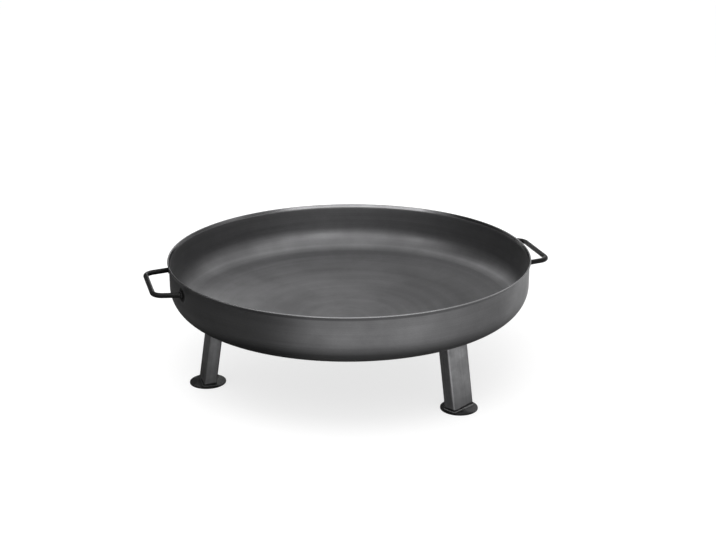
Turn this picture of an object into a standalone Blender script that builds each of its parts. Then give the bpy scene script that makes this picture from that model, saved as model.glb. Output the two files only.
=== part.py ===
# Fire bowl: a dished steel bowl on three splayed tube legs, with a bar handle at each side.
# Metres, +Z up. The origin is on the ground under the bowl's axis, and the handles lie along X.
# The bowl is one spun sheet, and everything else is welded to its outer side.

import math

import bmesh
import bpy
from mathutils import Matrix, Vector

# Bowl, measured on its outer side
RIM_RADIUS = 0.400  # outer edge of the turned-out lip
RIM_HEIGHT = 0.270  # ground to the top of the rim
SHEET = 0.003
LIP_FLARE = 0.0035  # how far the lip leans out past the wall
LIP_LEAN = 24  # degrees from upright
LIP_BEND = 0.008  # the bend from wall to lip, on the sheet's outer side
WALL_HEIGHT = 0.056  # top of the rim to the start of the knuckle
KNUCKLE_RADIUS = 0.057  # the turn from wall to base
CROWN_RADIUS = 1.5  # the shallow dish of the base
RIM_EDGE = 0.0006  # broken corners of the cut sheet

# Legs: rectangular tube, the wide side facing out
LEG_BEARINGS = {"left": 180, "front": -60, "rear": 60}
LEG_WIDTH = 0.062
LEG_DEPTH = 0.028
LEG_WALL = 0.002
LEG_CORNER = 0.0035
LEG_SPLAY = 8.7  # degrees from upright, feet outwards

# Foot plates: flat discs under the legs
FOOT_INSET = 0.0745  # rim's edge to the middle of a plate, seen from above
FOOT_DIAMETER = 0.080
FOOT_THICKNESS = 0.003
FOOT_EDGE = 0.0006

# Handles: one bent round bar each
HANDLE_BEARINGS = {"left": 180, "right": 0}
HANDLE_BAR = 0.011
HANDLE_GRIP = 0.149  # between the arms' middle lines, at the grip
HANDLE_SPAN = 0.172  # between the arms' middle lines, at the bowl's wall
HANDLE_REACH = 0.0435  # rim's edge to the middle of the grip
HANDLE_BEND = 0.024  # bend radius at the bar's middle
HANDLE_DROP = 0.030  # top of the rim to the middle of the bar

# Fillet welds: the length of each side of the seam
LEG_WELD = 0.005
FOOT_WELD = 0.004
HANDLE_WELD = 0.004
WELD_SWELL = 0.22  # how far a seam's face stands proud, as a share of its side

# The gap between pieces that touch
CLEARANCE = 0.0003

# Facets
BOWL_STEPS = 96
LIP_STEPS = 2
KNUCKLE_STEPS = 8
CROWN_STEPS = 6
CORNER_STEPS = 3
FLAT_STEPS = 4
FOOT_STEPS = 48
BAR_RESOLUTION = 6
BEND_STEPS = 6
SWELL_STEPS = 3

# Worked out from the sizes above
LIP_ANGLE = math.radians(LIP_LEAN)
LIP_FLANK = (LIP_FLARE - LIP_BEND * (1 - math.cos(LIP_ANGLE))) / math.sin(LIP_ANGLE)
WALL_RADIUS = RIM_RADIUS - LIP_FLARE
LIP_LEVEL = RIM_HEIGHT - LIP_FLANK * math.cos(LIP_ANGLE) - (LIP_BEND + SHEET) * math.sin(LIP_ANGLE)
KNUCKLE_LEVEL = RIM_HEIGHT - WALL_HEIGHT
KNUCKLE_CENTRE = WALL_RADIUS - KNUCKLE_RADIUS
CROWN_ANGLE = math.asin(KNUCKLE_CENTRE / (CROWN_RADIUS - KNUCKLE_RADIUS))
CROWN_LEVEL = KNUCKLE_LEVEL + (CROWN_RADIUS - KNUCKLE_RADIUS) * math.cos(CROWN_ANGLE)
FOOT_CIRCLE = RIM_RADIUS - FOOT_INSET
HANDLE_LEVEL = RIM_HEIGHT - HANDLE_DROP
BAR_SIDES = 4 + 2 * BAR_RESOLUTION


# Scene and finishes

def clear_scene():
    for thing in list(bpy.data.objects):
        bpy.data.objects.remove(thing)


def finish(name, colour, roughness, metallic):
    material = bpy.data.materials.new(name)
    material.use_nodes = True
    shader = material.node_tree.nodes["Principled BSDF"]
    shader.inputs["Base Color"].default_value = (*colour, 1)
    shader.inputs["Roughness"].default_value = roughness
    shader.inputs["Metallic"].default_value = metallic
    material.diffuse_color = (*colour, 1)
    return material


def add_object(name, mesh, material, parent):
    piece = bpy.data.objects.new(name, mesh)
    bpy.context.scene.collection.objects.link(piece)
    mesh.materials.clear()
    mesh.materials.append(material)
    piece.parent = parent
    return piece


def bearing(degrees):
    return Matrix.Rotation(math.radians(degrees), 4, "Z")


# Surfaces that other pieces seat on: each function says how far outside a point lies

def outside_bowl(point):
    radius = math.hypot(point.x, point.y)
    if point.z >= KNUCKLE_LEVEL:
        return radius - WALL_RADIUS
    if radius < (CROWN_LEVEL - point.z) * math.tan(CROWN_ANGLE):
        return math.hypot(radius, CROWN_LEVEL - point.z) - CROWN_RADIUS
    return math.hypot(radius - KNUCKLE_CENTRE, KNUCKLE_LEVEL - point.z) - KNUCKLE_RADIUS


def above_plate(point):
    return point.z - FOOT_THICKNESS


def seat(point, direction, outside, gap=CLEARANCE):
    """Slide a point along direction until it lies a gap away from a surface."""
    for _ in range(40):
        point = point + direction * (outside(point) - gap)
    return point


# Mesh helpers

def ring_mesh(name, sections):
    """A closed loop of closed sections, as a seam or an open-ended tube has."""
    bm = bmesh.new()
    rings = [[bm.verts.new(point) for point in section] for section in sections]
    for i, ring in enumerate(rings):
        following = rings[(i + 1) % len(rings)]
        for j, corner in enumerate(ring):
            k = (j + 1) % len(ring)
            bm.faces.new((corner, following[j], following[k], ring[k]))
    bmesh.ops.recalc_face_normals(bm, faces=bm.faces)
    mesh = bpy.data.meshes.new(name)
    bm.to_mesh(mesh)
    bm.free()
    return mesh


def shade(mesh, sharp_from):
    mesh.shade_smooth()
    mesh.set_sharp_from_angle(angle=math.radians(sharp_from))


def arc(centre, radius, start, end, steps):
    """Points on an arc in the X-Z plane, its angles counted from straight down towards +X."""
    points = []
    for i in range(steps + 1):
        angle = start + (end - start) * i / steps
        points.append(centre + radius * Vector((math.sin(angle), 0, -math.cos(angle))))
    return points


# Bowl

def on_flank(inset, up):
    """A point on the lip's straight flank, at a depth into the sheet and a distance up from the bend."""
    lip_centre = Vector((WALL_RADIUS + LIP_BEND, 0, LIP_LEVEL))
    across = Vector((-math.cos(LIP_ANGLE), 0, math.sin(LIP_ANGLE)))
    along = Vector((math.sin(LIP_ANGLE), 0, math.cos(LIP_ANGLE)))
    return lip_centre + across * (LIP_BEND + inset) + along * up


def bowl_side(inset):
    """The bowl's profile from the lip down to the axis, at a depth into the sheet."""
    lip_centre = Vector((WALL_RADIUS + LIP_BEND, 0, LIP_LEVEL))
    knuckle_centre = Vector((KNUCKLE_CENTRE, 0, KNUCKLE_LEVEL))
    crown_centre = Vector((0, 0, CROWN_LEVEL))
    lip = [on_flank(inset, LIP_FLANK - RIM_EDGE)]
    lip += arc(lip_centre, LIP_BEND + inset, -math.pi / 2 - LIP_ANGLE, -math.pi / 2, LIP_STEPS)
    knuckle = arc(knuckle_centre, KNUCKLE_RADIUS - inset, math.pi / 2, CROWN_ANGLE, KNUCKLE_STEPS)
    crown = arc(crown_centre, CROWN_RADIUS - inset, CROWN_ANGLE, 0, CROWN_STEPS)
    return lip + knuckle + crown[1:]


def make_bowl(material, parent):
    profile = list(reversed(bowl_side(SHEET)))
    profile += [on_flank(SHEET - RIM_EDGE, LIP_FLANK), on_flank(RIM_EDGE, LIP_FLANK)]
    profile += bowl_side(0)
    mesh = bpy.data.meshes.new("bowl")
    mesh.from_pydata(profile, [(i, i + 1) for i in range(len(profile) - 1)], [])
    bowl = add_object("bowl", mesh, material, parent)
    spin = bowl.modifiers.new("spin", "SCREW")
    spin.axis = "Z"
    spin.steps = spin.render_steps = BOWL_STEPS
    spin.use_merge_vertices = True
    spin.merge_threshold = 0.00001
    spin.use_smooth_shade = True
    return bowl


# Legs and feet

def tube_outline(width, depth, corner):
    """Points and outward normals round a rectangle with round corners."""
    outline = []
    middles = [(width, depth), (-width, depth), (-width, -depth), (width, -depth)]
    for quarter, (x, y) in enumerate(middles):
        middle = Vector((x / 2, y / 2, 0)) - Vector((math.copysign(corner, x), math.copysign(corner, y), 0))
        for i in range(CORNER_STEPS + 1):
            angle = math.pi / 2 * (quarter + i / CORNER_STEPS)
            normal = Vector((math.cos(angle), math.sin(angle), 0))
            outline.append((middle + normal * corner, normal))
    return with_flats(outline)


def with_flats(outline):
    """The same outline with points along its flats, so that a cut end can follow a curved seat."""
    filled = []
    for i, (point, normal) in enumerate(outline):
        filled.append((point, normal))
        following, turned = outline[(i + 1) % len(outline)]
        if (turned - normal).length < 0.001:
            for k in range(1, FLAT_STEPS):
                filled.append((point.lerp(following, k / FLAT_STEPS), normal))
    return filled


def leg_frame(degrees):
    """The leg's own axes: X along its width, Y facing out, Z up its length, from the plate's middle."""
    turned = bearing(degrees) @ Matrix.Translation((FOOT_CIRCLE, 0, FOOT_THICKNESS))
    leaning = Matrix.Rotation(math.radians(-LEG_SPLAY), 4, "Y")
    return turned @ leaning @ Matrix.Rotation(math.radians(-90), 4, "Z")


def placed(outline, frame):
    turn = frame.to_3x3()
    return [(frame @ point, turn @ normal) for point, normal in outline]


def make_leg(name, degrees, material, parent):
    """A tube whose foot is cut flat and whose head is cut to the bowl's underside."""
    frame = leg_frame(degrees)
    up = frame.to_3x3() @ Vector((0, 0, 1))
    outer = placed(tube_outline(LEG_WIDTH, LEG_DEPTH, LEG_CORNER), frame)
    bore = LEG_WIDTH - 2 * LEG_WALL, LEG_DEPTH - 2 * LEG_WALL
    inner = placed(tube_outline(*bore, max(LEG_CORNER - LEG_WALL, LEG_CORNER / 4)), frame)
    sections = []
    for (outside, _), (inside, _) in zip(outer, inner):
        foot = [seat(point, -up, above_plate) for point in (outside, inside)]
        head = [seat(point, up, outside_bowl) for point in (inside, outside)]
        sections.append(foot + head)
    mesh = ring_mesh(name, sections)
    shade(mesh, 40)
    return add_object(name, mesh, material, parent)


def make_foot_plate(name, degrees, material, parent):
    bm = bmesh.new()
    bmesh.ops.create_cone(
        bm,
        cap_ends=True,
        segments=FOOT_STEPS,
        radius1=FOOT_DIAMETER / 2,
        radius2=FOOT_DIAMETER / 2,
        depth=FOOT_THICKNESS,
    )
    mesh = bpy.data.meshes.new(name)
    bm.to_mesh(mesh)
    bm.free()
    shade(mesh, 40)
    plate = add_object(name, mesh, material, parent)
    plate.location = bearing(degrees) @ Vector((FOOT_CIRCLE, 0, FOOT_THICKNESS / 2))
    edge = plate.modifiers.new("broken edge", "BEVEL")
    edge.width = FOOT_EDGE
    edge.segments = 2
    edge.limit_method = "ANGLE"
    return plate


# Handles

def arm_frame(side):
    """An arm's own axes, on the handle at +X: Z along it into the bowl, from the grip's end. Side is 1 for +Y."""
    corner = Vector((RIM_RADIUS + HANDLE_REACH, side * HANDLE_GRIP / 2, HANDLE_LEVEL))
    half_span = HANDLE_SPAN / 2
    root = Vector((math.sqrt(WALL_RADIUS**2 - half_span**2), side * half_span, HANDLE_LEVEL))
    turn = (root - corner).to_track_quat("Z", "Y")
    return Matrix.Translation(corner) @ turn.to_matrix().to_4x4()


def bend(corner, before, after, radius, steps):
    """Points round a bend that leads from one direction into another, its tangents meeting in a corner."""
    turn = before.angle(after)
    axis = before.cross(after)
    start = corner - before * radius * math.tan(turn / 2)
    centre = start + axis.cross(before).normalized() * radius
    points = []
    for i in range(steps + 1):
        points.append(centre + Matrix.Rotation(turn * i / steps, 3, axis) @ (start - centre))
    return points


def handle_path():
    """The bar's middle line for the handle at +X: arm, bend, grip, bend, arm."""
    frame = arm_frame(1)
    corner = frame.translation
    inwards = frame.to_3x3() @ Vector((0, 0, 1))
    half = [seat(corner, inwards, outside_bowl)]
    half += bend(corner, -inwards, Vector((0, -1, 0)), HANDLE_BEND, BEND_STEPS)
    return half + [Vector((point.x, -point.y, point.z)) for point in reversed(half)]


def bar_mesh(name, path):
    """A round bar along a path, as a curve with a bevel and filled ends."""
    curve = bpy.data.curves.new(name, "CURVE")
    curve.dimensions = "3D"
    curve.bevel_depth = HANDLE_BAR / 2
    curve.bevel_resolution = BAR_RESOLUTION
    curve.use_fill_caps = True
    spline = curve.splines.new("POLY")
    spline.points.add(len(path) - 1)
    for target, point in zip(spline.points, path):
        target.co = (*point, 1)
    guide = bpy.data.objects.new(name, curve)
    mesh = bpy.data.meshes.new_from_object(guide)
    bpy.data.objects.remove(guide)
    bpy.data.curves.remove(curve)
    return mesh


def make_handle(name, degrees, material, parent):
    """The bar's two ends are cut to the bowl's wall."""
    path = handle_path()
    mesh = bar_mesh(name, path)
    bm = bmesh.new()
    bm.from_mesh(mesh)
    bmesh.ops.remove_doubles(bm, verts=bm.verts, dist=0.00001)
    for side, end in ((1, path[0]), (-1, path[-1])):
        inwards = arm_frame(side).to_3x3() @ Vector((0, 0, 1))
        for vert in bm.verts:
            if (vert.co - end).dot(inwards) > -0.00001:
                vert.co = seat(vert.co, inwards, outside_bowl)
    bmesh.ops.recalc_face_normals(bm, faces=bm.faces)
    bm.to_mesh(mesh)
    bm.free()
    shade(mesh, 50)
    handle = add_object(name, mesh, material, parent)
    handle.rotation_euler.z = math.radians(degrees)
    return handle


# Welds

def weld_seam(name, outline, direction, outside, side, material, parent):
    """A fillet weld in the corner where a bar or tube, with this outline, runs into a surface."""
    sections = []
    for point, normal in outline:
        root = seat(point + normal * CLEARANCE, direction, outside)
        on_member = root - direction * side
        on_surface = seat(point + normal * (CLEARANCE + side), direction, outside)
        section = [root]
        for i in range(SWELL_STEPS + 1):
            share = i / SWELL_STEPS
            face = on_member.lerp(on_surface, share)
            swell = side * WELD_SWELL * math.sin(math.pi * share)
            section.append(face + (face - root).normalized() * swell)
        sections.append(section)
    mesh = ring_mesh(name, sections)
    shade(mesh, 50)
    return add_object(name, mesh, material, parent)


def make_leg_welds(name, degrees, steel, black, parent):
    frame = leg_frame(degrees)
    up = frame.to_3x3() @ Vector((0, 0, 1))
    outline = placed(tube_outline(LEG_WIDTH, LEG_DEPTH, LEG_CORNER), frame)
    weld_seam(f"leg_weld_{name}", outline, up, outside_bowl, LEG_WELD, steel, parent)
    weld_seam(f"foot_weld_{name}", outline, -up, above_plate, FOOT_WELD, black, parent)


def round_outline(diameter):
    """Points and outward normals round the bar."""
    outline = []
    for i in range(BAR_SIDES):
        angle = 2 * math.pi * i / BAR_SIDES
        normal = Vector((math.cos(angle), math.sin(angle), 0))
        outline.append((normal * diameter / 2, normal))
    return outline


def make_handle_welds(name, degrees, material, parent):
    """One seam round each end of the bar."""
    for side in (1, -1):
        frame = bearing(degrees) @ arm_frame(side)
        end = "front" if frame.translation.y < 0 else "rear"
        inwards = frame.to_3x3() @ Vector((0, 0, 1))
        outline = placed(round_outline(HANDLE_BAR), frame)
        seam = f"handle_weld_{name}_{end}"
        weld_seam(seam, outline, inwards, outside_bowl, HANDLE_WELD, material, parent)


def main():
    clear_scene()
    ground = bpy.data.objects.new("fire_bowl", None)
    bpy.context.scene.collection.objects.link(ground)

    bowl_steel = finish("bowl_steel", (0.16, 0.16, 0.165), 0.45, 1.0)
    leg_steel = finish("leg_steel", (0.20, 0.20, 0.205), 0.5, 1.0)
    black_paint = finish("black_paint", (0.012, 0.012, 0.013), 0.25, 0.0)
    burnt_weld = finish("burnt_weld", (0.06, 0.06, 0.065), 0.6, 1.0)

    make_bowl(bowl_steel, ground)
    for name, degrees in LEG_BEARINGS.items():
        make_leg(f"leg_{name}", degrees, leg_steel, ground)
        make_foot_plate(f"foot_plate_{name}", degrees, black_paint, ground)
        make_leg_welds(name, degrees, burnt_weld, black_paint, ground)
    for name, degrees in HANDLE_BEARINGS.items():
        make_handle(f"handle_{name}", degrees, black_paint, ground)
        make_handle_welds(name, degrees, black_paint, ground)


main()
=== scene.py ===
import math

import bmesh
import bpy
from mathutils import Matrix, Vector


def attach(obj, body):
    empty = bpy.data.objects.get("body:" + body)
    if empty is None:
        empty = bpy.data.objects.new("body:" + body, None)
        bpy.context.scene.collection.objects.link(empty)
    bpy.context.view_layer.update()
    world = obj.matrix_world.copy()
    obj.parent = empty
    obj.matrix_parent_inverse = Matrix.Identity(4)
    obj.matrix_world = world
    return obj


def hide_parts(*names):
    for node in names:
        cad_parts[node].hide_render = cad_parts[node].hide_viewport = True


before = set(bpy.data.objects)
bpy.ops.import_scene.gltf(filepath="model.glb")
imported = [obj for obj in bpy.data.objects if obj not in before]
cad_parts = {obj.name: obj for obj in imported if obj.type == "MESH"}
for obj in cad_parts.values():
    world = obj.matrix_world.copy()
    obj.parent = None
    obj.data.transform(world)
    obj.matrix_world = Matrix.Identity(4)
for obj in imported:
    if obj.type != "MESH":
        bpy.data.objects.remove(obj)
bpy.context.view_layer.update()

print("model loaded:", len(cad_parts), "solids")


# small helpers for shapes

upwards = Vector((0, 0, 1))
seatingRounds = 40


def towards(angle):
    # a level direction, in radians from +X towards +Y
    return Vector((math.cos(angle), math.sin(angle), 0))


def turnedTo(degrees):
    return Matrix.Rotation(math.radians(degrees), 4, "Z")


def lengthwise(place):
    # where a frame's own Z points
    return place.to_3x3() @ upwards


def arcPoints(centre, radius, start, end, steps):
    # angles in radians, counted from straight down towards +X
    points = []
    for i in range(steps + 1):
        angle = start + (end - start) * i / steps
        points.append(centre + radius * Vector((math.sin(angle), 0, -math.cos(angle))))
    return points


def seated(point, direction, outside, gap):
    # slides a point along a direction until it lies a gap away from a surface
    for i in range(seatingRounds):
        point = point + direction * (outside(point) - gap)
    return point


def addObject(objectName, data):
    added = bpy.data.objects.new(objectName, data)
    bpy.context.scene.collection.objects.link(added)
    return added


def addPiece(pieceName, mesh, replaced):
    piece = addObject(pieceName, mesh)
    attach(piece, "root")
    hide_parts(*replaced)
    return piece


def pathMesh(meshName, points, closed):
    edges = [(i, i + 1) for i in range(len(points) - 1)]
    if closed:
        edges.append((len(points) - 1, 0))
    mesh = bpy.data.meshes.new(meshName)
    mesh.from_pydata(points, edges, [])
    return mesh


# small helpers for node trees

def startTree(treeName, treeKind, inputs, outputs):
    # inputs are names, kinds and default values; outputs are names with their kinds
    tree = bpy.data.node_groups.new(treeName, treeKind)
    for socketName, kind, value in inputs:
        socket = tree.interface.new_socket(socketName, in_out="INPUT", socket_type="NodeSocket" + kind)
        if value is not None:
            socket.default_value = value
    for socketName, kind in outputs.items():
        tree.interface.new_socket(socketName, in_out="OUTPUT", socket_type="NodeSocket" + kind)
    return tree, tree.nodes.new("NodeGroupInput"), tree.nodes.new("NodeGroupOutput")


def feed(tree, entry, socket):
    # links another node's output to a socket, or sets a plain value on it
    if isinstance(entry, bpy.types.NodeSocket):
        tree.links.new(entry, socket)
    else:
        socket.default_value = entry


def feedAll(tree, node, entries):
    for name, entry in entries.items():
        feed(tree, entry, node.inputs[name])


def addMath(tree, operation, *values):
    node = tree.nodes.new("ShaderNodeMath")
    node.operation = operation
    for i, value in enumerate(values):
        feed(tree, value, node.inputs[i])
    return node.outputs["Value"]


# geometry node trees

mergeDistance = 0.00001


def startShape(treeName, inputs):
    guide = ("Geometry", "Geometry", None)
    return startTree(treeName, "GeometryNodeTree", [guide] + inputs, {"Geometry": "Geometry"})


def finishShape(tree, given, result, shape):
    # every tree ends in smooth faces, real geometry and its material
    link = tree.links.new
    smooth = tree.nodes.new("GeometryNodeSetShadeSmooth")
    realize = tree.nodes.new("GeometryNodeRealizeInstances")
    finish = tree.nodes.new("GeometryNodeSetMaterial")
    link(shape, smooth.inputs["Geometry"])
    link(smooth.outputs["Geometry"], realize.inputs["Geometry"])
    link(realize.outputs["Geometry"], finish.inputs["Geometry"])
    link(given.outputs["Material"], finish.inputs["Material"])
    link(finish.outputs["Geometry"], result.inputs["Geometry"])
    return tree


def turnedTree():
    # turns a half profile, drawn as radius and height, round the upright axis
    tree, given, result = startShape("turnedShape", [
        ("Turning radius", "Float", 0.01),
        ("Turning steps", "Int", 96),
        ("Material", "Material", None),
    ])
    link = tree.links.new
    profile = tree.nodes.new("GeometryNodeMeshToCurve")
    circle = tree.nodes.new("GeometryNodeCurvePrimitiveCircle")
    upright = tree.nodes.new("GeometryNodeSetCurveNormal")
    upright.mode = "Z_UP"
    sweep = tree.nodes.new("GeometryNodeCurveToMesh")
    merge = tree.nodes.new("GeometryNodeMergeByDistance")
    merge.inputs["Distance"].default_value = mergeDistance
    link(given.outputs["Geometry"], profile.inputs["Mesh"])
    link(given.outputs["Turning steps"], circle.inputs["Resolution"])
    link(given.outputs["Turning radius"], circle.inputs["Radius"])
    link(circle.outputs["Curve"], upright.inputs["Curve"])
    link(upright.outputs["Curve"], sweep.inputs["Curve"])
    link(profile.outputs["Curve"], sweep.inputs["Profile Curve"])
    link(sweep.outputs["Mesh"], merge.inputs["Geometry"])
    return finishShape(tree, given, result, merge.outputs["Geometry"])


def barTree():
    # a round bar along a path
    tree, given, result = startShape("roundBar", [
        ("Bar radius", "Float", 0.005),
        ("Bar sides", "Int", 32),
        ("Material", "Material", None),
    ])
    link = tree.links.new
    path = tree.nodes.new("GeometryNodeMeshToCurve")
    circle = tree.nodes.new("GeometryNodeCurvePrimitiveCircle")
    sweep = tree.nodes.new("GeometryNodeCurveToMesh")
    sweep.inputs["Fill Caps"].default_value = True
    link(given.outputs["Geometry"], path.inputs["Mesh"])
    link(given.outputs["Bar sides"], circle.inputs["Resolution"])
    link(given.outputs["Bar radius"], circle.inputs["Radius"])
    link(path.outputs["Curve"], sweep.inputs["Curve"])
    link(circle.outputs["Curve"], sweep.inputs["Profile Curve"])
    return finishShape(tree, given, result, sweep.outputs["Mesh"])


def beadTree():
    # a weld bead: flattened drops that overlap along a path
    tree, given, result = startShape("weldBead", [
        ("Bead radius", "Float", 0.004),
        ("Bead pitch", "Float", 0.002),
        ("Drop length", "Float", 0.6),
        ("Unevenness", "Float", 0.1),
        ("Seed", "Int", 1),
        ("Material", "Material", None),
    ])
    link = tree.links.new
    path = tree.nodes.new("GeometryNodeMeshToCurve")
    spaced = tree.nodes.new("GeometryNodeResampleCurve")
    spaced.mode = "LENGTH"
    tangent = tree.nodes.new("GeometryNodeInputTangent")
    along = tree.nodes.new("FunctionNodeAlignRotationToVector")
    along.axis = "Z"
    drop = tree.nodes.new("GeometryNodeMeshIcoSphere")
    drop.inputs["Radius"].default_value = 1
    drop.inputs["Subdivisions"].default_value = 2
    uneven = tree.nodes.new("FunctionNodeRandomValue")
    uneven.data_type = "FLOAT"
    lowest = [s for s in uneven.inputs if s.name == "Min" and s.enabled][0]
    share = [s for s in uneven.outputs if s.enabled][0]
    link(addMath(tree, "SUBTRACT", 1, given.outputs["Unevenness"]), lowest)
    link(given.outputs["Seed"], uneven.inputs["Seed"])
    radius = addMath(tree, "MULTIPLY", given.outputs["Bead radius"], share)
    length = addMath(tree, "MULTIPLY", radius, given.outputs["Drop length"])
    size = tree.nodes.new("ShaderNodeCombineXYZ")
    feedAll(tree, size, {"X": radius, "Y": radius, "Z": length})
    place = tree.nodes.new("GeometryNodeInstanceOnPoints")
    link(given.outputs["Geometry"], path.inputs["Mesh"])
    link(path.outputs["Curve"], spaced.inputs["Curve"])
    link(given.outputs["Bead pitch"], spaced.inputs["Length"])
    link(tangent.outputs["Tangent"], along.inputs["Vector"])
    link(spaced.outputs["Curve"], place.inputs["Points"])
    link(drop.outputs["Mesh"], place.inputs["Instance"])
    link(along.outputs["Rotation"], place.inputs["Rotation"])
    link(size.outputs["Vector"], place.inputs["Scale"])
    return finishShape(tree, given, result, place.outputs["Instances"])


def runTree(meshName, guideMesh, tree, values):
    # runs a tree on a guide and keeps the result as a plain mesh
    guide = addObject(meshName + "Guide", guideMesh)
    modifier = guide.modifiers.new("shape", "NODES")
    modifier.node_group = tree
    for item in tree.interface.items_tree:
        if item.item_type == "SOCKET" and item.in_out == "INPUT" and item.name in values:
            modifier[item.identifier] = values[item.name]
    ready = guide.evaluated_get(bpy.context.evaluated_depsgraph_get())
    mesh = bpy.data.meshes.new_from_object(ready)
    mesh.name = meshName
    guide.modifiers.remove(modifier)
    bpy.data.objects.remove(guide)
    return mesh


def outwards(mesh):
    # turns a closed mesh's faces outwards and returns it
    bm = bmesh.new()
    bm.from_mesh(mesh)
    if bm.calc_volume(signed=True) < 0:
        bmesh.ops.reverse_faces(bm, faces=bm.faces)
    bm.to_mesh(mesh)
    bm.free()
    return mesh


turnedShape = turnedTree()
roundBar = barTree()
weldBead = beadTree()
print("geometry trees ready")


# shader node groups

noiseSpan = (0.3, 0.7)
noiseMiddle = 0.5
coolCast = 1.02


def startGroup(groupName, inputs, outputs):
    return startTree(groupName, "ShaderNodeTree", inputs, {name: "Float" for name in outputs})


def addVectorMath(tree, operation, *values):
    node = tree.nodes.new("ShaderNodeVectorMath")
    node.operation = operation
    for i, value in enumerate(values):
        feed(tree, value, node.inputs[i])
    return node.outputs


def addRange(tree, value, low, high, lowOut, highOut, steps="SMOOTHSTEP"):
    node = tree.nodes.new("ShaderNodeMapRange")
    node.interpolation_type = steps
    feedAll(tree, node, {
        "Value": value,
        "From Min": low,
        "From Max": high,
        "To Min": lowOut,
        "To Max": highOut,
    })
    return node.outputs["Result"]


def addBlend(tree, mask, atZero, atOne):
    # runs evenly from one value to the other as a mask goes from 0 to 1
    return addRange(tree, mask, 0, 1, atZero, atOne, "LINEAR")


def addNoise(tree, vector, scale, detail, roughness, dimensions="3D"):
    node = tree.nodes.new("ShaderNodeTexNoise")
    node.noise_dimensions = dimensions
    feedAll(tree, node, {"Vector": vector, "Scale": scale, "Detail": detail, "Roughness": roughness})
    return node.outputs["Fac"]


def addStretch(tree, noise):
    # spreads a noise's usual span over 0 to 1
    return addRange(tree, noise, *noiseSpan, 0, 1)


def addRag(tree, noise, reach):
    # a noise centred on nought, for ragged edges
    return addMath(tree, "MULTIPLY", addMath(tree, "SUBTRACT", noise, noiseMiddle), reach)


def lineGroup():
    # lines left by spinning or drawing: across is metres over them, drift runs slowly along them
    group, given, result = startGroup("toolLines", [
        ("Across", "Float", 0),
        ("Drift", "Float", 0),
        ("Line width", "Float", 0.002),
    ], ["Fine", "Broad"])
    for outputName, widths, drift in (("Fine", 1, 1), ("Broad", 9, 0.5)):
        width = addMath(group, "MULTIPLY", given.outputs["Line width"], widths)
        place = group.nodes.new("ShaderNodeCombineXYZ")
        group.links.new(addMath(group, "DIVIDE", given.outputs["Across"], width), place.inputs["X"])
        group.links.new(addMath(group, "MULTIPLY", given.outputs["Drift"], drift), place.inputs["Y"])
        spot = place.outputs["Vector"]
        lines = addNoise(group, spot, scale=1, detail=2, roughness=0.6, dimensions="2D")
        group.links.new(addStretch(group, lines), result.inputs[outputName])
    return group


def scaleGroup():
    # mill scale: soft dark clouds and a fine grain
    group, given, result = startGroup("millScale", [
        ("Vector", "Vector", None),
        ("Clouds per metre", "Float", 9),
        ("Grains per metre", "Float", 700),
    ], ["Clouds", "Grain"])
    place = given.outputs["Vector"]
    clouds = addNoise(group, place, given.outputs["Clouds per metre"], detail=5, roughness=0.55)
    grain = addNoise(group, place, given.outputs["Grains per metre"], detail=2, roughness=0.5)
    group.links.new(addStretch(group, clouds), result.inputs["Clouds"])
    group.links.new(addStretch(group, grain), result.inputs["Grain"])
    return group


def patchGroup():
    # a soft-edged patch round one spot
    group, given, result = startGroup("softPatch", [
        ("Vector", "Vector", None),
        ("Spot", "Vector", None),
        ("Inner", "Float", 0.01),
        ("Outer", "Float", 0.02),
        ("Ragged", "Float", 0.004),
    ], ["Mask"])
    place = given.outputs["Vector"]
    distance = addVectorMath(group, "DISTANCE", place, given.outputs["Spot"])["Value"]
    noise = addNoise(group, place, scale=130, detail=3, roughness=0.6)
    reach = addMath(group, "ADD", distance, addRag(group, noise, given.outputs["Ragged"]))
    mask = addRange(group, reach, given.outputs["Inner"], given.outputs["Outer"], 1, 0)
    group.links.new(mask, result.inputs["Mask"])
    return group


toolLines = lineGroup()
millScale = scaleGroup()
softPatch = patchGroup()


def useGroup(tree, group, entries):
    node = tree.nodes.new("ShaderNodeGroup")
    node.node_tree = group
    feedAll(tree, node, entries)
    return node.outputs


# parts that the materials share

def startMaterial(materialName, values):
    material = bpy.data.materials.new(materialName)
    material.use_nodes = True
    shader = material.node_tree.nodes["Principled BSDF"]
    for name, value in values.items():
        shader.inputs[name].default_value = value
    return material, material.node_tree, shader


def objectPlace(tree):
    return tree.nodes.new("ShaderNodeTexCoord").outputs["Object"]


def meshValue(tree, attributeName):
    # a number that the mesh carries
    node = tree.nodes.new("ShaderNodeAttribute")
    node.attribute_name = attributeName
    return node.outputs["Fac"]


def splitLevel(tree, vector):
    node = tree.nodes.new("ShaderNodeSeparateXYZ")
    tree.links.new(vector, node.inputs["Vector"])
    return node.outputs["X"], node.outputs["Y"]


def grey(value):
    return (value, value, value * coolCast, 1)


def mixColours(tree, share, first, second):
    node = tree.nodes.new("ShaderNodeMix")
    node.data_type = "RGBA"
    sockets = {s.identifier: s for s in node.inputs}
    feed(tree, share, sockets["Factor_Float"])
    feed(tree, first, sockets["A_Color"])
    feed(tree, second, sockets["B_Color"])
    return [s for s in node.outputs if s.identifier == "Result_Color"][0]


def addScale(tree, place, looks):
    return useGroup(tree, millScale, {
        "Vector": place,
        "Clouds per metre": looks["cloudsPerMetre"],
        "Grains per metre": looks["grainsPerMetre"],
    })


def addLines(tree, across, along, looks):
    return useGroup(tree, toolLines, {
        "Across": across,
        "Drift": addMath(tree, "MULTIPLY", along, looks["lineDrift"]),
        "Line width": looks["lineWidth"],
    })


def addPatch(tree, place, spot, patch):
    return useGroup(tree, softPatch, {
        "Vector": place,
        "Spot": spot,
        "Inner": patch["inner"],
        "Outer": patch["outer"],
        "Ragged": patch["ragged"],
    })["Mask"]


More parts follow.
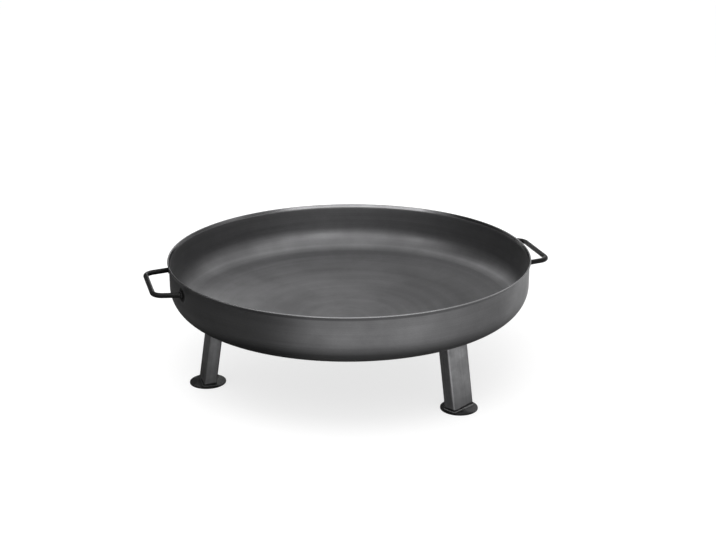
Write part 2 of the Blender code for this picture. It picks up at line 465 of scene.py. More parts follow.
def steelTone(tree, scale, lines, tones):
    # clouds, lines and grain each make the steel a little lighter or darker
    tone = addBlend(tree, scale["Clouds"], *tones["clouds"])
    tone = addMath(tree, "MULTIPLY", tone, addBlend(tree, lines["Broad"], *tones["broad"]))
    tone = addMath(tree, "MULTIPLY", tone, addBlend(tree, lines["Fine"], *tones["fine"]))
    return addMath(tree, "MULTIPLY", tone, addBlend(tree, scale["Grain"], *tones["grain"]))


def steelColour(tree, level, tone):
    node = tree.nodes.new("ShaderNodeVectorMath")
    node.operation = "SCALE"
    node.inputs[0].default_value = grey(level)[:3]
    tree.links.new(tone, node.inputs["Scale"])
    return node.outputs["Vector"]


def steelRelief(tree, scale, lines, shares):
    broad = addMath(tree, "MULTIPLY", lines["Broad"], shares["broad"])
    grain = addMath(tree, "MULTIPLY", scale["Grain"], shares["grain"])
    return addMath(tree, "ADD", addMath(tree, "ADD", lines["Fine"], broad), grain)


def cloudyRoughness(tree, scale, roughness, changes):
    # changes are for the clear parts and for the clouds
    return addBlend(tree, scale["Clouds"], *[roughness + change for change in changes])


def addBump(tree, shader, height, bump):
    node = tree.nodes.new("ShaderNodeBump")
    node.inputs["Strength"].default_value = bump["strength"]
    node.inputs["Distance"].default_value = bump["distance"]
    tree.links.new(height, node.inputs["Height"])
    tree.links.new(node.outputs["Normal"], shader.inputs["Normal"])


# where the legs stand, in degrees; the burnt patches on the bowl follow them

legBearings = {"left": 180, "front": -60, "rear": 60}


# bowl: a spun dish with a straight wall and a turned-out lip

bowlShape = {
    "rimRadius": 0.400,
    "rimHeight": 0.270,
    "sheet": 0.003,
    "lipFlare": 0.0035,
    "lipLean": 24,
    "lipBend": 0.008,
    "lipRows": (0, 0.0008, 0.003),
    "wallHeight": 0.056,
    "knuckleRadius": 0.057,
    "crownRadius": 1.5,
    "brokenEdge": 0.0006,
    "turningSteps": 240,
    "lipSteps": 6,
    "wallSteps": 6,
    "knuckleSteps": 18,
    "crownSteps": 26,
}
bowlLooks = {
    "steel": 0.175,
    "bareEdgeAndHighlight": 0.30,
    "tones": {"clouds": (0.86, 1.12), "broad": (0.95, 1.05), "fine": (0.95, 1.05), "grain": (0.95, 1.05)},
    "cloudsPerMetre": 7,
    "grainsPerMetre": 620,
    "lineWidth": 0.0022,
    "lineDrift": 1.3,
    "roughness": 0.46,
    "cloudRoughness": (0.05, -0.05),
    "lineRoughness": (-0.03, 0.03),
    "lipRubbed": 0.26,
    "lipRubbedRows": 3,
    "relief": {"broad": 2, "grain": 0.4},
    "bump": {"strength": 0.6, "distance": 0.00003},
    # painted highlight: a lighter ring on the inner knuckle; painted sheen: a lighter band over the
    # dish's outer part
    "highlightRingRadius": 0.372,
    "highlightRingEdge": (0.0006, 0.0055),
    "highlightRingTone": 0.12,
    "paintedSheenZone": 0.32,
    "sheenZoneInside": (0.26, 0.33),
    "sheenZoneOutside": (0.365, 0.388),
    "burnt": {
        "level": 0.06,
        "share": 0.75,
        "radius": 0.303,
        "height": 0.148,
        "inner": 0.030,
        "outer": 0.058,
        "ragged": 0.02,
    },
    "paint": {
        "level": 0.008,
        "gloss": 0.1,
        "spot": (0.388, 0.089, 0.241),
        "inner": 0.013,
        "outer": 0.020,
        "ragged": 0.009,
    },
}

lipAngle = math.radians(bowlShape["lipLean"])
lipFlank = (bowlShape["lipFlare"] - bowlShape["lipBend"] * (1 - math.cos(lipAngle))) / math.sin(lipAngle)
wallRadius = bowlShape["rimRadius"] - bowlShape["lipFlare"]
lipLevel = (bowlShape["rimHeight"] - lipFlank * math.cos(lipAngle)
            - (bowlShape["lipBend"] + bowlShape["sheet"]) * math.sin(lipAngle))
lipMiddle = Vector((wallRadius + bowlShape["lipBend"], 0, lipLevel))
knuckleLevel = bowlShape["rimHeight"] - bowlShape["wallHeight"]
knuckleCentre = wallRadius - bowlShape["knuckleRadius"]
crownReach = bowlShape["crownRadius"] - bowlShape["knuckleRadius"]
crownAngle = math.asin(knuckleCentre / crownReach)
crownLevel = knuckleLevel + crownReach * math.cos(crownAngle)


def outsideBowl(point):
    # how far a point lies outside the bowl's outer face
    r = math.hypot(point.x, point.y)
    if point.z > knuckleLevel:
        return r - wallRadius
    if r < (crownLevel - point.z) * math.tan(crownAngle):
        return math.hypot(r, crownLevel - point.z) - bowlShape["crownRadius"]
    return math.hypot(r - knuckleCentre, knuckleLevel - point.z) - bowlShape["knuckleRadius"]


def onFlank(inset, up):
    # a point on the lip's straight flank, at a depth into the sheet and a distance up from its bend
    across = Vector((-math.cos(lipAngle), 0, math.sin(lipAngle)))
    along = Vector((math.sin(lipAngle), 0, math.cos(lipAngle)))
    return lipMiddle + across * (bowlShape["lipBend"] + inset) + along * up


def bowlFace(inset):
    # one face of the sheet, from the lip down to the axis
    shape = bowlShape
    inwards = -math.pi / 2
    knuckleMiddle = Vector((knuckleCentre, 0, knuckleLevel))
    crownMiddle = Vector((0, 0, crownLevel))
    lip = [onFlank(inset, lipFlank - shape["brokenEdge"] - down) for down in shape["lipRows"]]
    lip += arcPoints(lipMiddle, shape["lipBend"] + inset, inwards - lipAngle, inwards, shape["lipSteps"])
    knuckle = arcPoints(
        knuckleMiddle, shape["knuckleRadius"] - inset, math.pi / 2, crownAngle, shape["knuckleSteps"])
    crown = arcPoints(crownMiddle, shape["crownRadius"] - inset, crownAngle, 0, shape["crownSteps"])
    wall = [lip[-1].lerp(knuckle[0], i / shape["wallSteps"]) for i in range(1, shape["wallSteps"])]
    return lip + wall + knuckle + crown[1:]


def rimEdge():
    # the cut end of the sheet, with its two corners broken
    shape = bowlShape
    depths = (shape["sheet"] - shape["brokenEdge"], shape["sheet"] / 2, shape["brokenEdge"])
    return [onFlank(depth, lipFlank) for depth in depths]


def turnedMesh(meshName, profile, steps, material, marks=None):
    turningRadius = 0.01
    flat = [Vector((point.x - turningRadius, -point.z, 0)) for point in profile]
    guide = pathMesh(meshName + "Profile", flat, False)
    if marks:
        for markName, numbers in marks.items():
            guide.attributes.new(markName, "FLOAT", "POINT").data.foreach_set("value", numbers)
    values = {"Turning radius": turningRadius, "Turning steps": steps, "Material": material}
    return outwards(runTree(meshName, guide, turnedShape, values))


def bowlSteel():
    looks = bowlLooks
    burnt = looks["burnt"]
    paint = looks["paint"]
    material, tree, shader = startMaterial("spunBowlSteel", {
        "Metallic": 1,
        "Roughness": looks["roughness"],
        "Specular IOR Level": paint["gloss"],
    })
    link = tree.links.new
    place = objectPlace(tree)
    x, y = splitLevel(tree, place)
    around = addMath(tree, "COSINE", addMath(tree, "ARCTAN2", y, x))
    lines = addLines(tree, meshValue(tree, "alongSheet"), around, looks)
    scale = addScale(tree, place, looks)
    tone = steelTone(tree, scale, lines, looks["tones"])

    # painted highlight and sheen: the steel is lighter in a ring on the knuckle and in a band over the
    # dish's outer part, standing in for light reflected inside the bowl
    squares = [addMath(tree, "POWER", way, 2) for way in (x, y)]
    r = addMath(tree, "SQRT", addMath(tree, "ADD", *squares))
    fromHighlightRing = addMath(tree, "ABSOLUTE", addMath(tree, "SUBTRACT", r, looks["highlightRingRadius"]))
    highlightRing = addRange(tree, fromHighlightRing, *looks["highlightRingEdge"], looks["highlightRingTone"], 0)
    sheenZone = addRange(tree, r, *looks["sheenZoneInside"], 0, looks["paintedSheenZone"])
    sheenZone = addMath(tree, "MULTIPLY", sheenZone, addRange(tree, r, *looks["sheenZoneOutside"], 1, 0))
    paintedSheen = addMath(tree, "ADD", addMath(tree, "ADD", highlightRing, sheenZone), 1)
    steel = steelColour(tree, looks["steel"], addMath(tree, "MULTIPLY", tone, paintedSheen))
    # the cut rim edge is lighter: partly bare cut metal, partly a painted highlight along the rim
    colour = mixColours(tree, meshValue(tree, "bareEdgeAndHighlight"), steel, grey(looks["bareEdgeAndHighlight"]))

    outer = meshValue(tree, "outerFace")
    burn = 0
    for degrees in legBearings.values():
        turn = math.radians(degrees)
        head = (math.cos(turn) * burnt["radius"], math.sin(turn) * burnt["radius"], burnt["height"])
        burn = addMath(tree, "MAXIMUM", burn, addPatch(tree, place, head, burnt))
    burn = addMath(tree, "MULTIPLY", addMath(tree, "MULTIPLY", burn, burnt["share"]), outer)
    colour = mixColours(tree, burn, colour, grey(burnt["level"]))

    # one spot, mirrored, is the paint at all four handle ends
    mirrored = addVectorMath(tree, "ABSOLUTE", place)["Vector"]
    painted = addMath(tree, "MULTIPLY", addPatch(tree, mirrored, paint["spot"], paint), outer)
    link(mixColours(tree, painted, colour, grey(paint["level"])), shader.inputs["Base Color"])
    link(addBlend(tree, painted, 1, 0), shader.inputs["Metallic"])

    rough = cloudyRoughness(tree, scale, looks["roughness"], looks["cloudRoughness"])
    rough = addMath(tree, "ADD", rough, addBlend(tree, lines["Fine"], *looks["lineRoughness"]))
    lip = addMath(tree, "MULTIPLY", meshValue(tree, "rubbedLip"), looks["lipRubbed"])
    link(addMath(tree, "SUBTRACT", rough, lip), shader.inputs["Roughness"])
    addBump(tree, shader, steelRelief(tree, scale, lines, looks["relief"]), looks["bump"])
    return material


def marked(count, start, stop):
    return [1.0 if start <= i < stop else 0.0 for i in range(count)]


def makeBowl(material):
    inner = bowlFace(bowlShape["sheet"])
    outer = bowlFace(0)
    edge = rimEdge()
    profile = list(reversed(inner)) + edge + outer
    count = len(profile)
    alongSheet = [0.0]
    for before, after in zip(profile, profile[1:]):
        alongSheet.append(alongSheet[-1] + (after - before).length)
    first = len(inner) - 1
    last = first + len(edge) + 1
    marks = {
        "alongSheet": alongSheet,
        "bareEdgeAndHighlight": marked(count, first, last + 1),
        "outerFace": marked(count, last, count),
        "rubbedLip": marked(count, first - bowlLooks["lipRubbedRows"], last),
    }
    mesh = turnedMesh("bowlTurned", profile, bowlShape["turningSteps"], material, marks)
    return addPiece("bowlTurned", mesh, ["bowl"])


spunBowlSteel = bowlSteel()
bowl = makeBowl(spunBowlSteel)
print("bowl turned:", len(bowl.data.polygons), "faces")


# black paint, on the plates, the handles and their welds

paintLooks = {
    "plates": {"black": 0.009, "dust": 0.02, "roughness": 0.15, "gloss": 0.35, "ior": 1.45},
    "footWelds": {"black": 0.009, "dust": 0.02, "roughness": 0.14, "gloss": 0.9, "ior": 1.65},
    "handles": {"black": 0.008, "dust": 0.02, "roughness": 0.22, "gloss": 0.22, "ior": 1.45},
    "cloudsPerMetre": 30,
    "grainsPerMetre": 1500,
    "cloudRoughness": (-0.05, 0.08),
    "peel": {"scale": 260, "detail": 2, "roughness": 0.5},
    "bump": {"strength": 0.5, "distance": 0.0004},
    "paintedReflection": {
        "level": 0.085,
        "spot": (0.190, -0.294, 0.003),
        "inner": 0.016,
        "outer": 0.032,
        "ragged": 0.008,
    },
}


def blackPaint(materialName, looks):
    paintedReflection = paintLooks["paintedReflection"]
    material, tree, shader = startMaterial(materialName, {
        "Metallic": 0,
        "Roughness": looks["roughness"],
        "IOR": looks["ior"],
        "Specular IOR Level": looks["gloss"],
    })
    place = objectPlace(tree)
    scale = addScale(tree, place, paintLooks)
    peel = addNoise(tree, place, **paintLooks["peel"])
    dust = addMath(tree, "MULTIPLY", scale["Clouds"], scale["Grain"])
    colour = mixColours(tree, dust, grey(looks["black"]), grey(looks["dust"]))
    # painted reflection: a soft grey patch on the front plate's top stands in for a reflection of
    # something bright
    colour = mixColours(tree, addPatch(tree, place, paintedReflection["spot"], paintedReflection), colour, grey(paintedReflection["level"]))
    tree.links.new(colour, shader.inputs["Base Color"])
    rough = cloudyRoughness(tree, scale, looks["roughness"], paintLooks["cloudRoughness"])
    tree.links.new(rough, shader.inputs["Roughness"])
    addBump(tree, shader, peel, paintLooks["bump"])
    return material


platePaint = blackPaint("glossBlackPaint", paintLooks["plates"])
footWeldPaint = blackPaint("wetBlackPaint", paintLooks["footWelds"])
handlePaint = blackPaint("satinBlackPaint", paintLooks["handles"])


# legs: rectangular tube, splayed, cut to the bowl's underside

legShape = {
    "width": 0.062,
    "depth": 0.028,
    "corner": 0.0035,
    "splay": 8.7,
    "footCircle": 0.3255,
    "cornerSteps": 6,
    "flatSteps": 8,
    "flatMargin": 0.0006,
    "heightSteps": 10,
    "gap": 0.0003,
}
plateShape = {
    "diameter": 0.080,
    "thickness": 0.003,
    "brokenEdge": 0.0006,
    "edgeSteps": 4,
    "flatRows": (0, 0.5, 0.97),
    "turningSteps": 96,
}
legLooks = {
    "steel": 0.40,
    "tones": {"clouds": (0.82, 1.14), "broad": (0.93, 1.07), "fine": (0.94, 1.06), "grain": (0.94, 1.06)},
    "cloudsPerMetre": 24,
    "grainsPerMetre": 800,
    "lineWidth": 0.0016,
    "lineDrift": 6,
    "roughness": 0.46,
    "cloudRoughness": (0.06, -0.05),
    "burntRoughness": 0.2,
    "relief": {"broad": 1, "grain": 0.5},
    "bump": {"strength": 0.6, "distance": 0.00004},
    "burnt": 0.035,
    "ragged": 0.008,
    "burnEdge": (0.002, 0.012),
    "burnShare": 0.7,
    "heatTintAndShadeEdge": (0.004, 0.030),
    "heatTintAndShadeShare": 0.3,
    "sprayEdge": (0.0035, 0.006),
    "sprayRagged": 0.5,
}


def tubeOutline(cornerSteps, flatSteps):
    # points and outward normals round the tube, a rectangle with round corners
    width, depth, corner = [legShape[name] for name in ("width", "depth", "corner")]
    sameWay = 0.001
    middles = [(width, depth), (-width, depth), (-width, -depth), (width, -depth)]
    rounded = []
    for quarter, (x, y) in enumerate(middles):
        inset = Vector((math.copysign(corner, x), math.copysign(corner, y), 0))
        middle = Vector((x / 2, y / 2, 0)) - inset
        for i in range(cornerSteps + 1):
            normal = towards(math.pi / 2 * (quarter + i / cornerSteps))
            rounded.append((middle + normal * corner, normal))
    outline = []
    for i, (point, normal) in enumerate(rounded):
        outline.append((point, normal))
        following, turned = rounded[(i + 1) % len(rounded)]
        if (turned - normal).length < sameWay:
            # the margin keeps the flat flat beside its corners
            near = legShape["flatMargin"] / (following - point).length
            shares = [near] + [k / flatSteps for k in range(1, flatSteps)] + [1 - near]
            outline += [(point.lerp(following, share), normal) for share in shares]
    return outline


def legFrame(degrees):
    # X along the leg's width, Y facing out, Z up its length, from the plate's middle
    moved = Matrix.Translation((legShape["footCircle"], 0, plateShape["thickness"]))
    leaning = Matrix.Rotation(math.radians(-legShape["splay"]), 4, "Y")
    return turnedTo(degrees) @ moved @ leaning @ turnedTo(-90)


def abovePlate(point):
    return point.z - plateShape["thickness"]


def legSteel():
    looks = legLooks
    material, tree, shader = startMaterial("drawnLegSteel", {
        "Metallic": 1,
        "Roughness": looks["roughness"],
    })
    link = tree.links.new
    mapping = tree.nodes.new("ShaderNodeUVMap")
    mapping.uv_map = "tubeSkin"
    around, along = splitLevel(tree, mapping.outputs["UV"])
    lines = addLines(tree, around, along, looks)
    scale = addScale(tree, objectPlace(tree), looks)
    tone = steelTone(tree, scale, lines, looks["tones"])
    steel = steelColour(tree, looks["steel"], tone)

    # the tube's top is darker: a narrow burn next to the bowl weld, and a wider soft tint that is partly
    # heat tint and partly painted shade under the bowl
    rag = addRag(tree, scale["Clouds"], looks["ragged"])
    topReach = addMath(tree, "ADD", meshValue(tree, "fromTop"), rag)
    burn = addRange(tree, topReach, *looks["burnEdge"], looks["burnShare"], 0)
    tintAndShade = addRange(tree, topReach, *looks["heatTintAndShadeEdge"], looks["heatTintAndShadeShare"], 0)
    tintAndShade = addMath(tree, "MULTIPLY", tintAndShade, addMath(tree, "SUBTRACT", 1, burn))
    burn = addMath(tree, "ADD", burn, tintAndShade)
    colour = mixColours(tree, burn, steel, grey(looks["burnt"]))

    # paint sprayed past the plate onto the foot
    footRag = addMath(tree, "MULTIPLY", rag, looks["sprayRagged"])
    footReach = addMath(tree, "ADD", meshValue(tree, "fromFoot"), footRag)
    sprayed = addRange(tree, footReach, *looks["sprayEdge"], 1, 0)
    colour = mixColours(tree, sprayed, colour, grey(paintLooks["plates"]["black"]))
    link(colour, shader.inputs["Base Color"])
    link(addBlend(tree, sprayed, 1, 0), shader.inputs["Metallic"])

    rough = cloudyRoughness(tree, scale, looks["roughness"], looks["cloudRoughness"])
    rough = addMath(tree, "ADD", rough, addMath(tree, "MULTIPLY", burn, looks["burntRoughness"]))
    link(rough, shader.inputs["Roughness"])
    addBump(tree, shader, steelRelief(tree, scale, lines, looks["relief"]), looks["bump"])
    return material


def makeLeg(side, degrees, material):
    shape = legShape
    steps = shape["heightSteps"]
    place = legFrame(degrees)
    up = lengthwise(place)
    points = [point for point, normal in tubeOutline(shape["cornerSteps"], shape["flatSteps"])]
    mesh = bpy.data.meshes.new("legTube_" + side)
    bm = bmesh.new()
    fromTop = bm.verts.layers.float.new("fromTop")
    fromFoot = bm.verts.layers.float.new("fromFoot")
    skin = bm.loops.layers.uv.new("tubeSkin")
    columns = []
    around = [0.0]
    for i, point in enumerate(points):
        foot = seated(place @ point, -up, abovePlate, shape["gap"])
        head = seated(place @ point, up, outsideBowl, shape["gap"])
        length = (head - foot).length
        column = []
        for k in range(steps + 1):
            share = k / steps
            vert = bm.verts.new(foot.lerp(head, share))
            vert[fromTop] = length * (1 - share)
            vert[fromFoot] = length * share
            column.append(vert)
        columns.append(column)
        following = points[(i + 1) % len(points)]
        around.append(around[-1] + (following - point).length)
    for i, column in enumerate(columns):
        following = columns[(i + 1) % len(columns)]
        for k in range(steps):
            face = bm.faces.new((column[k], following[k], following[k + 1], column[k + 1]))
            face.smooth = True
            for loop, u in zip(face.loops, (i, i + 1, i + 1, i)):
                loop[skin].uv = (around[u], loop.vert[fromFoot])
    bm.faces.new([column[0] for column in reversed(columns)])
    bm.faces.new([column[-1] for column in columns])
    for edge in bm.edges:
        edge.smooth = all(face.smooth for face in edge.link_faces)
    bm.to_mesh(mesh)
    bm.free()
    mesh.materials.append(material)
    return addPiece("legTube_" + side, outwards(mesh), ["leg_" + side])


def makePlate(side, degrees, material):
    # a turned disc with broken edges, moved under its leg
    shape = plateShape
    thickness = shape["thickness"]
    broken = shape["brokenEdge"]
    flat = shape["diameter"] / 2 - broken
    bottom = Vector((flat, 0, broken))
    top = Vector((flat, 0, thickness - broken))
    lower = arcPoints(bottom, broken, 0, math.pi / 2, shape["edgeSteps"])
    upper = arcPoints(top, broken, math.pi / 2, math.pi, shape["edgeSteps"])
    under = [Vector((flat * share, 0, 0)) for share in shape["flatRows"]]
    over = [Vector((flat * share, 0, thickness)) for share in reversed(shape["flatRows"])]
    mesh = turnedMesh("footDisc_" + side, under + lower + upper + over, shape["turningSteps"], material)
    mesh.transform(turnedTo(degrees) @ Matrix.Translation((legShape["footCircle"], 0, 0)))
    return addPiece("footDisc_" + side, mesh, ["foot_plate_" + side])


drawnLegSteel = legSteel()
for side, degrees in legBearings.items():
    makeLeg(side, degrees, drawnLegSteel)
    makePlate(side, degrees, platePaint)
print("legs and foot plates made")


# handles: round bar, bent twice, running into the wall

handleShape = {
    "bearings": {"left": 180, "right": 0},
    "bar": 0.011,
    "grip": 0.149,
    "span": 0.172,
    "reach": 0.0435,
    "bend": 0.024,
    "drop": 0.030,
    "bendSteps": 14,
    "barSides": 32,
    "sink": 0.0004,
    "endDepth": 0.00005,
}


def armFrame(side):
    # an arm's own axes on the handle at +X: Z along it into the bowl, from the grip's corner
    shape = handleShape
    level = bowlShape["rimHeight"] - shape["drop"]
    corner = Vector((bowlShape["rimRadius"] + shape["reach"], side * shape["grip"] / 2, level))
    half = shape["span"] / 2
    root = Vector((math.sqrt(wallRadius ** 2 - half ** 2), side * half, level))
    turn = (root - corner).to_track_quat("Z", "Y")
    return Matrix.Translation(corner) @ turn.to_matrix().to_4x4()


def bendPoints(corner, before, after, radius, steps):
    turn = before.angle(after)
    axis = before.cross(after)
    start = corner - before * radius * math.tan(turn / 2)
    centre = start + axis.cross(before).normalized() * radius
    turns = [Matrix.Rotation(turn * i / steps, 3, axis) for i in range(steps + 1)]
    return [centre + bent @ (start - centre) for bent in turns]


def makeHandle(side, degrees, material):
    shape = handleShape
    arm = armFrame(1)
    inwards = lengthwise(arm)
    half = [seated(arm.translation, inwards, outsideBowl, 0)]
    half += bendPoints(arm.translation, -inwards, Vector((0, -1, 0)), shape["bend"], shape["bendSteps"])
    path = half + [Vector((point.x, -point.y, point.z)) for point in reversed(half)]
    guide = pathMesh("handlePath", path, False)
    values = {"Bar radius": shape["bar"] / 2, "Bar sides": shape["barSides"], "Material": material}
    mesh = runTree("handleBar_" + side, guide, roundBar, values)
    for sign, end in ((1, path[0]), (-1, path[-1])):
        into = lengthwise(armFrame(sign))
        for vert in mesh.vertices:
            if (vert.co - end).dot(into) > -shape["endDepth"]:
                vert.co = seated(vert.co, into, outsideBowl, -shape["sink"])
    mesh.transform(turnedTo(degrees))
    return addPiece("handleBar_" + side, outwards(mesh), ["handle_" + side])


for side, degrees in handleShape["bearings"].items():
    makeHandle(side, degrees, handlePaint)
print("handles bent")


# weld beads: legs to bowl, legs to plates, handles to wall

weldShape = {
    "leg": {"radius": 0.0040, "pitch": 0.0024, "out": 0.0014, "back": 0.0016},
    "foot": {"radius": 0.0028, "pitch": 0.0018, "out": 0.0008, "back": 0.0004},
    "handle": {"radius": 0.0032, "pitch": 0.0018, "out": 0.0006, "back": 0.0010},
    "dropLength": 0.62,
    "unevenness": 0.12,
    "tubeSteps": 4,
    "barSteps": 24,
    "firstSeed": 10,
}
weldLooks = {
    "burnt": 0.045,
    "bright": 0.12,
    "cloudsPerMetre": 90,
    "grainsPerMetre": 1400,
    "roughness": 0.45,
    "cloudRoughness": (0.12, -0.1),
    "bump": {"strength": 0.6, "distance": 0.0001},
}


def weldSteel():
    looks = weldLooks
    material, tree, shader = startMaterial("burntWeldSteel", {
        "Metallic": 1,
        "Roughness": looks["roughness"],
    })
    scale = addScale(tree, objectPlace(tree), looks)
    colour = mixColours(tree, scale["Clouds"], grey(looks["burnt"]), grey(looks["bright"]))
    tree.links.new(colour, shader.inputs["Base Color"])
    rough = cloudyRoughness(tree, scale, looks["roughness"], looks["cloudRoughness"])
    tree.links.new(rough, shader.inputs["Roughness"])
    addBump(tree, shader, scale["Grain"], looks["bump"])
    return material


def makeBead(pieceName, nodeName, outline, direction, outside, size, seed, material):
    # outline is points and normals round the bar or tube; the bead lies where it runs into the surface
    path = []
    for point, normal in outline:
        root = seated(point, direction, outside, 0)
        path.append(root + normal * size["out"] - direction * size["back"])
    values = {
        "Bead radius": size["radius"],
        "Bead pitch": size["pitch"],
        "Drop length": weldShape["dropLength"],
        "Unevenness": weldShape["unevenness"],
        "Seed": seed,
        "Material": material,
    }
    mesh = runTree(pieceName, pathMesh(pieceName + "Path", path, True), weldBead, values)
    return addPiece(pieceName, outwards(mesh), [nodeName])


def placedOutline(outline, place):
    turn = place.to_3x3()
    return [(place @ point, turn @ normal) for point, normal in outline]


def barOutline():
    steps = weldShape["barSteps"]
    normals = [towards(2 * math.pi * i / steps) for i in range(steps)]
    return [(normal * handleShape["bar"] / 2, normal) for normal in normals]


burntWeldSteel = weldSteel()
seed = weldShape["firstSeed"]
tube = tubeOutline(weldShape["tubeSteps"], weldShape["tubeSteps"])
for side, degrees in legBearings.items():
    place = legFrame(degrees)
    up = lengthwise(place)
    outline = placedOutline(tube, place)
    makeBead("legBead_" + side, "leg_weld_" + side, outline, up,
             outsideBowl, weldShape["leg"], seed, burntWeldSteel)
    makeBead("footBead_" + side, "foot_weld_" + side, outline, -up,
             abovePlate, weldShape["foot"], seed + 1, footWeldPaint)
    seed += 2
for side, degrees in handleShape["bearings"].items():
    for sign in (1, -1):
        place = turnedTo(degrees) @ armFrame(sign)
        end = "front" if place.translation.y < 0 else "rear"
        outline = placedOutline(barOutline(), place)
        makeBead(f"handleBead_{side}_{end}", f"handle_weld_{side}_{end}", outline, lengthwise(place),
                 outsideBowl, weldShape["handle"], seed, handlePaint)
        seed += 1
print("weld beads laid")


# camera, at the photograph's angle

cameraPlace = {
    "position": (-0.7397, -2.7567, 1.1992),
    "azimuth": -15.404,
    "pitch": 18.732,
    "roll": -0.172,
    "lens": 68.21,
    "sensor": 36,
    "nearest": 0.05,
    "farthest": 50,
}


def makeCamera():
    place = cameraPlace
    turn = math.radians(-place["azimuth"])
    tilt = math.radians(place["pitch"])
    roll = math.radians(place["roll"])
    level = Vector((math.cos(turn), -math.sin(turn), 0))
    forward = Vector((math.sin(turn) * math.cos(tilt), math.cos(turn) * math.cos(tilt), -math.sin(tilt)))
    rising = level.cross(forward)
    right = level * math.cos(roll) + rising * math.sin(roll)
    up = rising * math.cos(roll) - level * math.sin(roll)
    data = bpy.data.cameras.new("photoCamera")
    data.sensor_fit = "HORIZONTAL"
    data.sensor_width = place["sensor"]
    data.lens = place["lens"]
    data.clip_start = place["nearest"]
    data.clip_end = place["farthest"]
    camera = addObject("photoCamera", data)
    axes = Matrix((right, up, -forward)).transposed()
    camera.matrix_world = Matrix.Translation(place["position"]) @ axes.to_4x4()
    bpy.context.scene.camera = camera


makeCamera()


# studio: pale floor, white surroundings, soft lamps, and cards that only reflections see

studio = {
    "floorSize": 60,
    "floorColour": 0.34,
    "floorLift": 0.73,
    "worldForDiffuse": 0.55,
    "sunStrength": 0.95,
    "sunSpread": 50,
    "sunFrom": (-0.3, -0.8, 1.5),
    "lampTarget": (0, 0, 0.15),
    "softboxes": {
        "backSoftbox": {"watts": 23, "place": (0.55, 2.1, 1.0), "size": (1.6, 0.9)},
        "frontSoftbox": {"watts": 14, "place": (-0.35, -0.9, 2.1), "size": (1.7, 1.0)},
    },
    "cards": {
        "leftCard": {"radius": 0.85, "arc": (104, 165), "bottom": 0, "height": 1.5, "level": 0.09},
        "leftLowCard": {"radius": 0.85, "arc": (165, 232), "bottom": 0, "height": 0.70, "level": 0.09},
        "leftStrip": {"radius": 0.85, "arc": (82, 104), "bottom": 0.30, "height": 0.12, "level": 0.09},
        "rightCard": {"radius": 1.0, "arc": (-56, -12), "bottom": 0, "height": 1.0, "level": 0.45},
        "frontCard": {"radius": 2.0, "arc": (-166, -48), "bottom": 1.33, "height": 0.55, "level": 4.2},
        "backCard": {"radius": 0.95, "arc": (84, 110), "bottom": 0.46, "height": 0.5, "level": 2.0},
        "lipCard": {"radius": 1.0, "arc": (-12, 60), "bottom": 0.14, "height": 0.56, "level": 0.5},
        "handleCard": {"radius": 0.50, "arc": (34, 58), "bottom": 0.31, "height": 0.14, "level": 0.3},
        "dimCard": {"radius": 0.95, "arc": (44, 70), "bottom": 0.5, "height": 0.5, "level": 0.4},
    },
    "cardSteps": 24,
    # painted shadow for reflections: dark under the bowl, pale further out
    "groundShadowCard": {
        "radius": 1.0,
        "steps": 64,
        "lift": 0.001,
        "edge": (0.33, 0.76),
        "dark": 0.05,
        "pale": 0.95,
    },
    "groundShades": [
        {"bearing": 174, "narrow": 0.75, "wide": 0.25, "level": 0.20},
        {"bearing": -30, "narrow": 0.985, "wide": 0.80, "level": 0.75},
    ],
}


def emissionMaterial(materialName, level):
    material = bpy.data.materials.new(materialName)
    material.use_nodes = True
    tree = material.node_tree
    tree.nodes.remove(tree.nodes["Principled BSDF"])
    glow = tree.nodes.new("ShaderNodeEmission")
    glow.inputs["Color"].default_value = (level, level, level, 1)
    tree.links.new(glow.outputs["Emission"], tree.nodes["Material Output"].inputs["Surface"])
    return material


def seenRays(tree):
    # 1 for rays that show the background: camera, glossy and transmission rays
    rays = tree.nodes.new("ShaderNodeLightPath").outputs
    seen = addMath(tree, "MAXIMUM", rays["Is Camera Ray"], rays["Is Glossy Ray"])
    return addMath(tree, "MAXIMUM", seen, rays["Is Transmission Ray"])


def makeFloor():
    half = studio["floorSize"] / 2
    level = studio["floorColour"]
    mesh = bpy.data.meshes.new("studioFloor")
    corners = [(-half, -half, 0), (half, -half, 0), (half, half, 0), (-half, half, 0)]
    mesh.from_pydata(corners, [], [(0, 1, 2, 3)])
    material, tree, shader = startMaterial("paleFloor", {
        "Base Color": (level, level, level, 1),
        "Roughness": 1,
        "Specular IOR Level": 0,
        "Emission Color": (1, 1, 1, 1),
    })
    lift = addMath(tree, "MULTIPLY", seenRays(tree), studio["floorLift"])
    tree.links.new(lift, shader.inputs["Emission Strength"])
    mesh.materials.append(material)
    floor = addObject("studioFloor", mesh)


def placeCard(cardName, mesh):
    card = addObject(cardName, mesh)
    card.visible_camera = False
    card.visible_diffuse = False
    card.visible_shadow = False


def makeCard(cardName, card):
    # an upright curved card
    bottom = []
    top = []
    start, end = card["arc"]
    steps = studio["cardSteps"]
    for i in range(steps + 1):
        angle = math.radians(start + (end - start) * i / steps)
        spot = towards(angle) * card["radius"] + upwards * card["bottom"]
        bottom.append(spot)
        top.append(spot + upwards * card["height"])
    faces = [(i, i + 1, steps + 2 + i, steps + 1 + i) for i in range(steps)]
    mesh = bpy.data.meshes.new(cardName)
    mesh.from_pydata(bottom + top, [], faces)
    mesh.materials.append(emissionMaterial(cardName + "Cloth", card["level"]))
    placeCard(cardName, mesh)


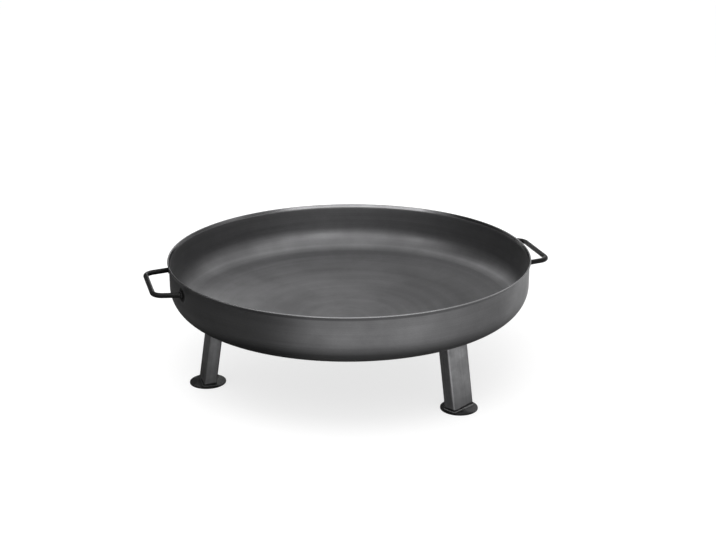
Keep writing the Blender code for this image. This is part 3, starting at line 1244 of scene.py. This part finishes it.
def makeGroundShadowCard():
    # painted shadow: a round card on the floor that only reflections see, dark under the bowl where the
    # floor's shadow falls, and pale at its edge
    card = studio["groundShadowCard"]
    steps = card["steps"]
    lift = upwards * card["lift"]
    points = [towards(2 * math.pi * i / steps) * card["radius"] + lift for i in range(steps)]
    mesh = bpy.data.meshes.new("groundShadowCard")
    mesh.from_pydata(points, [], [tuple(range(steps))])
    material = emissionMaterial("groundShadowCloth", 1)
    tree = material.node_tree
    place = objectPlace(tree)
    distance = addVectorMath(tree, "LENGTH", place)["Value"]
    shade = addRange(tree, distance, *card["edge"], card["dark"], card["pale"])
    heading = addVectorMath(tree, "NORMALIZE", place)["Vector"]
    for side in studio["groundShades"]:
        aim = towards(math.radians(side["bearing"]))
        facing = addVectorMath(tree, "DOT_PRODUCT", heading, aim)["Value"]
        dimmed = addRange(tree, facing, side["wide"], side["narrow"], 1, side["level"])
        shade = addMath(tree, "MULTIPLY", shade, dimmed)
    tree.links.new(shade, tree.nodes["Emission"].inputs["Strength"])
    mesh.materials.append(material)
    placeCard("groundShadowCard", mesh)


def aimed(direction):
    return direction.to_track_quat("-Z", "Y").to_matrix().to_4x4()


def makeLamp(lampName, watts, position, size, target):
    data = bpy.data.lights.new(lampName, "AREA")
    data.shape = "RECTANGLE"
    data.size, data.size_y = size
    data.energy = watts
    lamp = addObject(lampName, data)
    lamp.matrix_world = Matrix.Translation(position) @ aimed(Vector(target) - Vector(position))
    lamp.visible_camera = False
    lamp.visible_glossy = False


def makeSun():
    data = bpy.data.lights.new("broadSun", "SUN")
    data.energy = studio["sunStrength"]
    data.angle = math.radians(studio["sunSpread"])
    sun = addObject("broadSun", data)
    sun.matrix_world = aimed(-Vector(studio["sunFrom"]))
    sun.visible_glossy = False


def makeWorld():
    world = bpy.data.worlds.new("studioWorld")
    world.use_nodes = True
    tree = world.node_tree
    background = tree.nodes["Background"]
    background.inputs["Color"].default_value = (1, 1, 1, 1)
    strength = addBlend(tree, seenRays(tree), studio["worldForDiffuse"], 1)
    tree.links.new(strength, background.inputs["Strength"])
    bpy.context.scene.world = world


makeFloor()
for cardName, card in studio["cards"].items():
    makeCard(cardName, card)
makeGroundShadowCard()
makeSun()
for lampName, lamp in studio["softboxes"].items():
    makeLamp(lampName, lamp["watts"], lamp["place"], lamp["size"], studio["lampTarget"])
makeWorld()
bpy.context.scene.view_settings.view_transform = "Standard"
print("camera and studio set")
